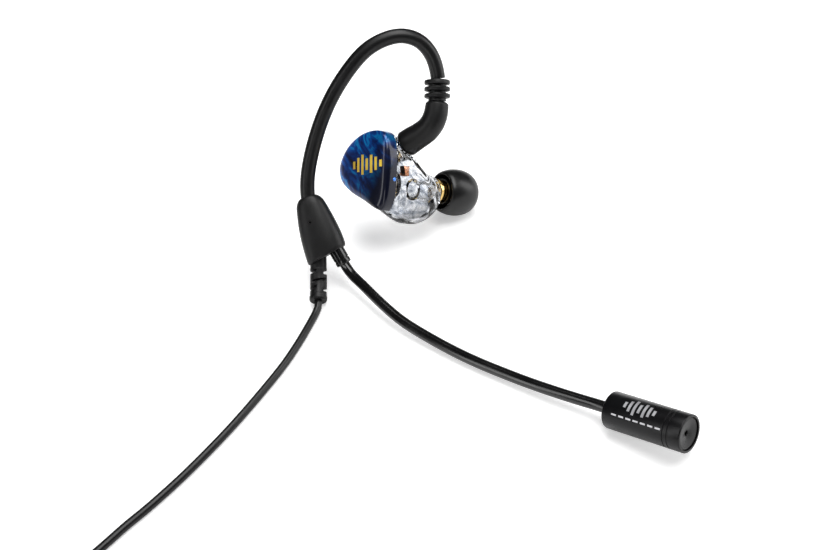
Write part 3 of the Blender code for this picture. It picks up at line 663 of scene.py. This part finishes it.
def coil_point(turns):
    """A point of the coil after so many turns, wound column by column."""
    index = min(int(turns), len(COIL_PLACES) - 1)
    column, layer = COIL_PLACES[index]
    next_column, next_layer = COIL_PLACES[min(index + 1, len(COIL_PLACES) - 1)]
    part = smoothstep(turns - index, 0.65, 1.0)
    column += (next_column - column) * part
    layer += (next_layer - layer) * part
    radius = COIL_MEAN_RADIUS + (column - 1.5) * COIL_PITCH
    angle = math.pi / 2 + 2 * math.pi * turns
    height = COIL_CENTRE.z + CORD_RADIUS + layer * COIL_PITCH
    return Vector((COIL_CENTRE.x + radius * math.cos(angle),
                   COIL_CENTRE.y + radius * math.sin(angle), height))


def add_lead():
    """The lead as one curve from the strain relief through its coil to the plug."""
    coil = [coil_point(i / TURN_POINTS) for i in range(int(TURNS_SHOWN * TURN_POINTS) + 1)]
    coil[0].z = 1.2
    route = [Vector(p) for p in CORD_ROUTE]
    tail = [Vector(p) for p in TAIL_ROUTE]
    before = smooth_path([*route, coil[0], coil[2]], 1.2)[:-1]
    after = smooth_path([coil[-3], coil[-1], *tail], 1.2)
    path = before[:-2] + coil[:-2] + after[1:]
    data = bpy.data.curves.new("lead", "CURVE")
    data.dimensions = "3D"
    data.bevel_depth = CORD_RADIUS * MM
    data.bevel_resolution = 5
    data.use_fill_caps = True
    line = data.splines.new("POLY")
    line.points.add(len(path) - 1)
    for i, point in enumerate(path):
        line.points[i].co = (*world(TABLE, point), 1.0)
    line.use_smooth = True
    lead = bpy.data.objects.new("lead", data)
    bpy.context.scene.collection.objects.link(lead)
    data.materials.append(CORD_BLACK)
    finish_piece(lead, "yoke", "cable_black", "cable_run", "cable_coil", "cable_tail")
    return lead, lengths_along(path)[-1] * MM


lead, lead_length = add_lead()


# ---------------------------------------------------------------- jack

def add_jack():
    boot = [(0, 9.7), (2.5, 9.7), (2.6, 9.5), (2.6, 8.0)]
    for i in range(4):
        z = 7.0 - 1.6 * i
        r = 2.52 - 0.13 * i
        boot += [(r, z), (r, z - 0.3), (r - 0.4, z - 0.42), (r - 0.42, z - 0.8), (r - 0.1, z - 0.9)]
    boot += [(1.75, 0.25), (1.55, 0.0), (0, 0)]
    jack_boot = finish_piece(turned("plug_boot", boot, JACK, SOFT_BLACK), "yoke", "soft_black",
                             "jack_boot")
    grip = [(0, 22.0), (1.9, 22.0), (1.9, 24.0), (3.0, 24.0), (3.3, 23.9), (3.55, 23.6),
            (JACK_RADIUS, 23.0)]
    for i in range(7):
        z = 21.0 - 1.3 * i
        grip += [(JACK_RADIUS, z), (JACK_RADIUS - 0.15, z - 0.15), (JACK_RADIUS - 0.15, z - 0.45),
                 (JACK_RADIUS, z - 0.6)]
    grip += [(JACK_RADIUS, 11.2), (3.6, 10.6), (3.3, 10.15), (3.0, 10.0), (0, 10.0)]
    jack_grip = finish_piece(turned("plug_grip", grip, JACK, SOFT_BLACK),
                             "yoke", "soft_black", "jack_grip")
    return [jack_boot, jack_grip, *show(WHITE_PLASTIC, "jack_core"),
            *show(GOLD, "jack_sleeve", "jack_ring_1", "jack_ring_2", "jack_tip"),
            *show(SOFT_BLACK, "cable_tie")]


jack_pieces = add_jack()
tuple(world(PLANE, RELIEF_ROUTE[-1]))


# ---------------------------------------------------------------- bent tubes that cross joints

def jointed_tube(prefix, route, splits, radius, finish, nodes, bend, step=0.5):
    """A seamless tube in pieces, each spanning one joint between two bodies."""
    path = softened(smooth_path(route, 0.5), 30)
    length = lengths_along(path)[-1]
    joints = [fraction * length for fraction in splits]
    middles = [(a + b) / 2 for a, b in zip(joints, joints[1:])]
    cuts = [0.0, *middles, length]
    for i, joint in enumerate(joints):
        piece = swept(f"{prefix}_{i + 1}", resampled(path, step, cuts[i], cuts[i + 1]), radius,
                      PLANE, finish)
        around = resampled(path, 2 * bend, joint - bend, joint + bend)
        tuple(world(PLANE, around[0]))
        tuple(world(PLANE, around[-1]))
        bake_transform(piece)
        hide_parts(nodes[i], nodes[i + 1])


jointed_tube("ear_hook_sleeve", HOOK_ROUTE, HOOK_SPLITS, HOOK_RADIUS, HOOK_BLACK,
             ["hook_root", "hook_lower", "hook_middle", "hook_upper"], 5.0)
jointed_tube("boom_sleeve", BOOM_ROUTE, BOOM_SPLITS, BOOM_RADIUS, BOOM_BLACK,
             ["boom_root", "boom_link_1", "boom_link_2", "boom_link_3", "boom_link_4"], 6.0)


# ---------------------------------------------------------------- yoke, relief and collar

def rounded_section(half_x, half_y, z, count=72, power=2.4):
    points = []
    for i in range(count):
        angle = 2 * math.pi * i / count
        c = math.cos(angle)
        s = math.sin(angle)
        x = half_x * math.copysign(abs(c) ** (2 / power), c)
        y = half_y * math.copysign(abs(s) ** (2 / power), s)
        points.append((x, y, z))
    return points


def add_yoke():
    rings = []
    for z, a, b in catmull(YOKE_SECTIONS, 5):
        skew = YOKE_SKEW * min(1.0, max(0.0, (-z - 8.0) / 5.0))
        rings.append([world(YOKE, (x, y, z + skew * x)) for x, y, _ in rounded_section(a, b, z)])
    yoke = skin("yoke_moulding", rings, SOFT_BLACK, 50)
    boolean(yoke, rod("pin_hole", (-1.3, -6.0, -5.9), (-1.3, -2.4, -5.9), 0.28, YOKE, SOFT_BLACK,
                      24), "DIFFERENCE")
    for name, route, radius in (("hook_mouth", HOOK_ROUTE, HOOK_RADIUS + 0.22),
                                ("relief_mouth", RELIEF_ROUTE, RELIEF_RADIUS + 0.22)):
        inner = YOKE.inverted() @ PLANE @ Vector(route[0])
        outer = YOKE.inverted() @ PLANE @ Vector(route[2])
        boolean(yoke, rod(name, inner, outer, radius, YOKE, SOFT_BLACK), "DIFFERENCE")
    axis = (COLLAR_END - COLLAR_START).normalized()
    boolean(yoke, rod("collar_mouth", COLLAR_START - axis, COLLAR_END + axis * 4,
                      COLLAR_RADIUS + 0.12, YOKE, SOFT_BLACK), "DIFFERENCE")
    finish_piece(yoke, "yoke", "soft_black", "yoke_front_shell", "yoke_rear_shell")


def relief_radius(distance, angle):
    """A sleeve with three rows of slanting slots and a plain collar at its end."""
    if distance > 12.0:
        return RELIEF_RADIUS + 0.12 - 0.25 * smoothstep(distance, 12.75, 13.3)
    start, pitch, rows = 4.6, 2.3, 3
    place = (distance - start) / pitch
    row = int(place)
    if place < 0 or row >= rows:
        return RELIEF_RADIUS - 0.05
    turn = (angle - row * math.pi / 2) % math.pi
    across = place - row - 0.45 * turn / math.pi
    groove = smoothstep(across, 0.06, 0.14) * (1 - smoothstep(across, 0.38, 0.46))
    along = smoothstep(turn, 0.10, 0.28) * (1 - smoothstep(turn, math.pi - 0.75, math.pi - 0.55))
    return RELIEF_RADIUS - 0.85 * groove * along


add_yoke()
finish_piece(swept("strain_relief", resampled(smooth_path(RELIEF_ROUTE, 0.3), 0.11), relief_radius,
                   PLANE, SOFT_BLACK, 72), "yoke", "soft_black", "cable_strain_relief")


def add_collar():
    """The ring at the root of the boom, with a fine groove near its outer end."""
    place = YOKE @ frame_along(COLLAR_START, COLLAR_END - COLLAR_START, Vector((1, 0, 0)))
    length = (COLLAR_END - COLLAR_START).length
    outer = COLLAR_RADIUS
    inner = BOOM_RADIUS + 0.1
    profile = [(outer - 0.1, 0.0), (outer, 0.1), (outer, length - 1.5),
               (outer - 0.14, length - 1.42), (outer - 0.14, length - 1.2),
               (outer, length - 1.12), (outer, length - 0.3), (outer - 0.06, length - 0.12),
               (outer - 0.2, length), (inner, length), (inner, 0.0)]
    finish_piece(turned("boom_collar_ring", profile, place, BOOM_BLACK, loop=True), "yoke",
                 "boom_black", "boom_collar")


add_collar()


# ---------------------------------------------------------------- connector

def add_plug():
    path = smooth_path(PLUG_ROUTE, 0.35)
    length = lengths_along(path)[-1]

    def radius(distance, _):
        place = distance / length * (len(PLUG_RADII) - 1)
        r = float(np.interp(place, range(len(PLUG_RADII)), PLUG_RADII))
        r -= 0.35 * (1 - smoothstep(distance, 0.0, 0.45))
        return r - 0.28 * smoothstep(distance, length - 0.35, length)

    housing = swept("connector_housing", resampled(path, 0.14), radius, PLANE, SOFT_BLACK, 64)
    finish_piece(housing, "plug", "soft_black", "plug_housing")
    relief = PLANE @ frame_along(Vector((6.15, 43.3, 1.1)), Vector((0.0, 1.0, 0.02)),
                                 Vector((1, 0, 0)))
    profile = [(1.9, 5.2), (2.9, 5.2), (3.1, 5.12), (3.2, 4.95), (3.22, 4.3), (3.12, 4.14),
               (2.9, 4.08), (2.2, 4.05)]
    for top in (3.4, 1.7):
        profile += [(2.2, top + 0.12), (2.9, top + 0.1), (3.14, top), (3.24, top - 0.15),
                    (3.24, top - 0.72), (3.14, top - 0.88), (2.9, top - 0.96), (2.2, top - 1.0)]
    profile += [(2.25, 0.0), (1.9, 0.0)]
    finish_piece(turned("connector_relief", profile, relief, SOFT_BLACK, loop=True), "plug",
                 "soft_black", "plug_relief")


add_plug()
show(GOLD, "plug_barrel", "plug_pin", "snap_ring", "mmcx_socket", "socket_contact")
show(WHITE_PLASTIC, "plug_insulator", "socket_insulator")


# ---------------------------------------------------------------- earpiece

def outline_point(share):
    """A point on the faceplate's outline, a share of the way round it."""
    place = share * len(FACE_OUTLINE)
    index = int(place)
    t = place - index
    a, b, c, d = (Vector(FACE_OUTLINE[(index + i) % len(FACE_OUTLINE)]) for i in (-1, 0, 1, 2))
    return 0.5 * (2 * b + (c - a) * t + (2 * a - 5 * b + 4 * c - d) * t ** 2
                  + (3 * b - a - 3 * c + d) * t ** 3)


def egg(depth, x0, y0, half_x, half_y, tip):
    """The faceplate's outline, scaled and rounded off towards an ellipse."""
    points = []
    for i in range(OUTLINE_POINTS):
        angle = 2 * math.pi * i / OUTLINE_POINTS
        outline = outline_point(i / OUTLINE_POINTS)
        x = (1 - tip) * half_x * math.cos(angle) + tip * half_x * outline.x / FACEPLATE_HALF[0]
        y = (1 - tip) * half_y * math.sin(angle) + tip * half_y * outline.y / FACEPLATE_HALF[1]
        points.append((x0 + x, y0 + y, -depth))
    return points


def add_faceplate():
    smooth = catmull(FACE_SECTIONS, 5)
    inner = [(-0.475, 0.06), (-0.47, 0.16), (-0.455, 0.28)]
    rings = []
    for depth, s in [*inner, *smooth]:
        outline = egg(depth, *FACE_MIDDLE, FACEPLATE_HALF[0] * s, FACEPLATE_HALF[1] * s, s)
        rings.append([world(FACE, p) for p in outline])
    finish_piece(skin("blue_faceplate", rings, BLUE_RESIN, 50), "earpiece", "blue_resin",
                 "faceplate")


OUTLINE_POLAR = sorted((math.atan2(p.y, p.x), p.length)
                       for p in (outline_point(i / OUTLINE_POINTS) for i in range(OUTLINE_POINTS)))


def face_height(x, y):
    """How far the faceplate's front stands out at a place on it."""
    place = Vector((x - FACE_MIDDLE[0], y - FACE_MIDDLE[1]))
    angles, radii = zip(*OUTLINE_POLAR)
    edge = float(np.interp(math.atan2(place.y, place.x), angles, radii, period=2 * math.pi))
    depths = [-0.48, -0.47, *(depth for depth, _ in FACE_SECTIONS[:5])]
    shares = [0.0, 0.16, *(share for _, share in FACE_SECTIONS[:5])]
    return -float(np.interp(place.length / edge, shares, depths))


def raised_bar(name, centre, size, height, surface, place, finish, cells=(3, 8)):
    """A thin bar laid on a curved surface, with its top a little proud of it."""
    rows = []
    for j in range(cells[1] + 1):
        row = []
        for i in range(cells[0] + 1):
            x = centre[0] + size[0] * (i / cells[0] - 0.5)
            y = centre[1] + size[1] * (j / cells[1] - 0.5)
            row.append((x, y))
        rows.append(row)
    shape = bmesh.new()
    top = [[shape.verts.new(world(place, surface(x, y, height))) for x, y in row] for row in rows]
    base = [[shape.verts.new(world(place, surface(x, y, -0.12))) for x, y in row] for row in rows]
    for j in range(cells[1]):
        for i in range(cells[0]):
            shape.faces.new((top[j][i], top[j][i + 1], top[j + 1][i + 1], top[j + 1][i]))
            shape.faces.new((base[j][i], base[j + 1][i], base[j + 1][i + 1], base[j][i + 1]))
    rim = [(0, i) for i in range(cells[0])] + [(j, cells[0]) for j in range(cells[1])]
    rim += [(cells[1], i) for i in range(cells[0], 0, -1)]
    rim += [(j, 0) for j in range(cells[1], 0, -1)]
    for (j, i), (k, m) in zip(rim, rim[1:] + rim[:1]):
        shape.faces.new((top[j][i], base[j][i], base[k][m], top[k][m]))
    return mesh_piece(name, shape, finish, 30)


EQUALISER = (0.38, 0.72, 1.0, 0.58, 0.90, 0.66, 0.34)


def add_face_emblem():
    """A plain equaliser motif in gold foil."""
    pitch = 1.62
    for i, part in enumerate(EQUALISER):
        x = 0.9 + (i - (len(EQUALISER) - 1) / 2) * pitch
        bar = raised_bar(f"face_emblem_bar_{i + 1}", (x, 1.7), (0.86, 5.0 * part), 0.05,
                         lambda u, v, h: (u, v, face_height(u, v) + h), FACE, EMBLEM_GOLD)
        finish_piece(bar, "earpiece", "gold_plate")


def in_face(point):
    return FACE.inverted() @ PLANE @ Vector(point)


def add_shell():
    smooth = catmull(SHELL_SECTIONS, 5)
    rings = [[world(FACE, p) for p in egg(*section)] for section in smooth]
    shell = skin("clear_shell", rings, CLEAR_RESIN, 50)
    hollow = [(d - 0.8, x, y, a - SHELL_WALL, b - SHELL_WALL, tip)
              for d, x, y, a, b, tip in SHELL_SECTIONS[:-1]]
    hollow.append((15.4, 7.6, -5.4, 1.8, 2.4, 0.0))
    rings = [[world(FACE, p) for p in egg(*section)] for section in catmull(hollow, 4)]
    boolean(shell, skin("shell_hollow", rings, CLEAR_RESIN, 50), "DIFFERENCE")
    end = in_face(NOZZLE_END)
    axis = (in_face(NOZZLE_END + NOZZLE_AXIS) - end).normalized()
    boolean(shell, rod("stem", end - axis * 6.8, end - axis * 0.3, NOZZLE_RADIUS, FACE,
                       CLEAR_RESIN), "UNION")
    mouth = in_face(SOCKET_MOUTH)
    inward = (in_face(SOCKET_MOUTH + PLUG_AXIS) - mouth).normalized()
    boolean(shell, rod("boss", mouth - inward * 0.8, mouth + inward * 5.0,
                       SOCKET_RADIUS + 0.75, FACE, CLEAR_RESIN), "UNION")
    boolean(shell, rod("plug_seat", mouth - inward * 9, mouth - inward * 0.6,
                       PLUG_RADII[-1] + 0.7, FACE, CLEAR_RESIN), "DIFFERENCE")
    boolean(shell, rod("bore", end - axis * 8.5, end + axis, 2.0, FACE, CLEAR_RESIN),
            "DIFFERENCE")
    boolean(shell, rod("socket_bore", mouth - inward * 2, mouth + inward * 4.3,
                       SOCKET_RADIUS + 0.15, FACE, CLEAR_RESIN), "DIFFERENCE")
    finish_piece(shell, "earpiece", "clear_resin", "shell_body")


add_faceplate()
add_face_emblem()
add_shell()


def add_inner_parts():
    centre = Vector((1.4, -2.9, -6.0))
    driver = FACE @ frame_along(centre, Vector((0, 0, -1)), Vector((1, 0, 0)))
    profile = [(0, 1.5), (1.5, 1.5), (1.6, 1.42), (1.75, 1.15), (2.0, 1.1), (3.7, 1.1), (3.85, 1.0),
               (4.05, 0.8), (4.1, 0.7), (4.1, -0.25), (4.0, -0.4), (3.5, -0.55), (3.4, -0.7),
               (3.4, -1.95), (3.3, -2.15), (3.1, -2.28), (1.2, -2.3), (1.1, -2.2), (0, -2.2)]
    finish_piece(turned("driver_capsule", profile, driver, DRIVER_DARK), "earpiece", "steel",
                 "dynamic_driver")
    finish_piece(box_piece("armature_can", (2.2, 2.6, 1.6), (5.0, 0.4, -8.6), FACE, COPPER, 0.2),
                 "earpiece", "copper", "balanced_armature")
    finish_piece(box_piece("crossover", (3.0, 2.6, 0.6), (-4.4, 1.6, -5.2), FACE, BOARD, 0.06),
                 "earpiece", "circuit_board", "crossover_board")
    for name, x, y in (("crossover_capacitor", -5.0, 2.1), ("crossover_resistor", -4.0, 1.0)):
        chip = box_piece(name, (0.9, 0.5, 0.4), (x, y, -4.68), FACE, STEEL, 0.05)
        finish_piece(chip, "earpiece", "circuit_board")
    show(COPPER, "driver_wire", "armature_wire")


def add_glint_bead():
    # A small bright blue bead on the side wall, a painted glint standing in for a blue reflection.
    place = (FACE @ Matrix.Translation((7.55, -2.3, -2.9))
             @ Matrix.Rotation(math.radians(90), 4, "Y"))
    profile = [(0, 0.28), (0.22, 0.24), (0.42, 0.12), (0.5, 0.0), (0.5, -0.3), (0, -0.3)]
    finish_piece(turned("blue_glint_bead", profile, place, GLINT_BLUE, 24), "earpiece", "blue_resin")


def add_nozzle():
    tube = [(3.15, 0.78), (3.15, 0.12), (3.05, 0.0), (2.0, 0.0), (1.9, 0.1), (1.9, 7.0), (2.0, 7.1),
            (2.35, 7.1), (2.5, 7.02), (TUBE_RADIUS, 6.8), (TUBE_RADIUS, 1.0), (2.62, 0.9),
            (3.05, 0.9)]
    finish_piece(turned("gold_nozzle", tube, NOZZLE, GOLD, loop=True), "earpiece", "gold_plate",
                 "nozzle_tube")
    show(SCREEN, "nozzle_screen")


def add_ear_tip():
    """A rounded tip: its dome, the inside of its skirt and the sleeve that grips the nozzle."""
    dome = catmull([(2.1, 11.9), (2.35, 12.0), (3.0, 12.0), (4.3, 11.4), (5.4, 10.0), (5.95, 8.2),
                    (6.08, 6.5), (5.9, 4.7), (5.4, 3.1), (4.95, 2.35)], 4)
    skirt = catmull([(4.75, 2.22), (4.5, 2.42), (4.95, 4.3), (5.05, 6.1), (4.7, 7.7), (4.1, 8.4),
                     (3.5, 8.0), (3.4, 6.8), (3.4, 2.7)], 4)
    sleeve = [(3.3, 2.42), (3.05, 2.4), (2.87, 2.55), (2.85, 2.8), (2.85, 7.6), (2.7, 7.9),
              (2.2, 8.05), (2.1, 8.2)]
    tip_profile = [tuple(p) for p in [*dome, *skirt, *sleeve]]
    finish_piece(turned("silicone_ear_tip", tip_profile, NOZZLE, SILICONE, 96, loop=True, sharp=50),
                 "ear_tip", "silicone_black", "ear_tip")


add_inner_parts()
add_glint_bead()
add_nozzle()
add_ear_tip()


# ---------------------------------------------------------------- microphone

def add_microphone():
    body = [(3.5, MIC_FRONT - 0.05), (3.55, MIC_FRONT), (3.9, MIC_FRONT), (3.97, MIC_FRONT - 0.03),
            (4.03, MIC_FRONT - 0.1), (MIC_RADIUS, MIC_FRONT - 0.22)]
    for groove in (MIC_FRONT - 2.9, MIC_FRONT - 3.9):
        body += [(MIC_RADIUS, groove + 0.16), (MIC_RADIUS - 0.04, groove + 0.11),
                 (MIC_RADIUS - 0.13, groove + 0.08), (MIC_RADIUS - 0.13, groove - 0.08),
                 (MIC_RADIUS - 0.04, groove - 0.11), (MIC_RADIUS, groove - 0.16)]
    body += [(MIC_RADIUS, -0.72), (4.0, -0.88), (3.9, -0.97), (3.75, -1.0), (2.65, -1.0),
             (2.6, -0.9), (2.6, 0.2), (3.35, 0.6), (3.35, MIC_FRONT - 2.0), (3.5, MIC_FRONT - 1.8)]
    finish_piece(turned("microphone_body", body, MIC, ANODISED, 96, loop=True), "mic",
                 "anodised_black", "mic_housing")
    cap = [(0.55, MIC_FRONT - 0.85), (0.62, MIC_FRONT - 0.72), (1.1, MIC_FRONT - 0.55),
           (2.0, MIC_FRONT - 0.40), (2.9, MIC_FRONT - 0.28), (3.2, MIC_FRONT - 0.25),
           (3.34, MIC_FRONT - 0.3), (3.4, MIC_FRONT - 0.4), (3.4, MIC_FRONT - 1.4),
           (0.55, MIC_FRONT - 1.4)]
    finish_piece(turned("microphone_front", cap, MIC, ANODISED, 96, loop=True), "mic",
                 "anodised_black", "mic_front_cap")
    grommet = [(1.6, 1.2), (2.45, 1.2), (2.45, -1.2), (2.35, -1.45), (2.1, -1.6), (1.5, -1.6),
               (1.38, -1.5), (1.38, -1.2)]
    finish_piece(turned("boom_grommet", grommet, MIC, SILICONE, loop=True), "mic", "silicone_black",
                 "mic_grommet")


def mic_surface(angle_centre):
    def surface(across, along, height):
        angle = angle_centre + across / MIC_RADIUS
        r = MIC_RADIUS + height
        return (r * math.cos(angle), r * math.sin(angle), along)
    return surface


def add_mic_emblem():
    """The equaliser motif again, small, with a row of dashes under it, printed in silver."""
    toward = (MIC.inverted() @ PLANE).to_3x3() @ Vector((-0.15, 0.35, 1.0))
    facing = math.atan2(toward.y, toward.x)
    surface = mic_surface(facing)
    for i, part in enumerate(EQUALISER):
        along = 7.3 + (i - (len(EQUALISER) - 1) / 2) * 1.15
        bar = raised_bar(f"mic_emblem_bar_{i + 1}", (-0.9, along), (3.6 * part, 0.62), 0.02,
                         surface,
                         MIC, EMBLEM_SILVER, (6, 2))
        finish_piece(bar, "mic", "anodised_black")
    for i in range(7):
        along = 7.3 + (i - 3) * 1.75
        dash = raised_bar(f"mic_emblem_dash_{i + 1}", (1.9, along), (0.36, 1.2), 0.02,
                          surface, MIC, EMBLEM_SILVER, (2, 2))
        finish_piece(dash, "mic", "anodised_black")


add_microphone()
add_mic_emblem()
show(FOAM, "mic_gasket", "mic_sleeve")
show(STEEL, "mic_cartridge")
show(BOARD, "mic_board", "junction_board")
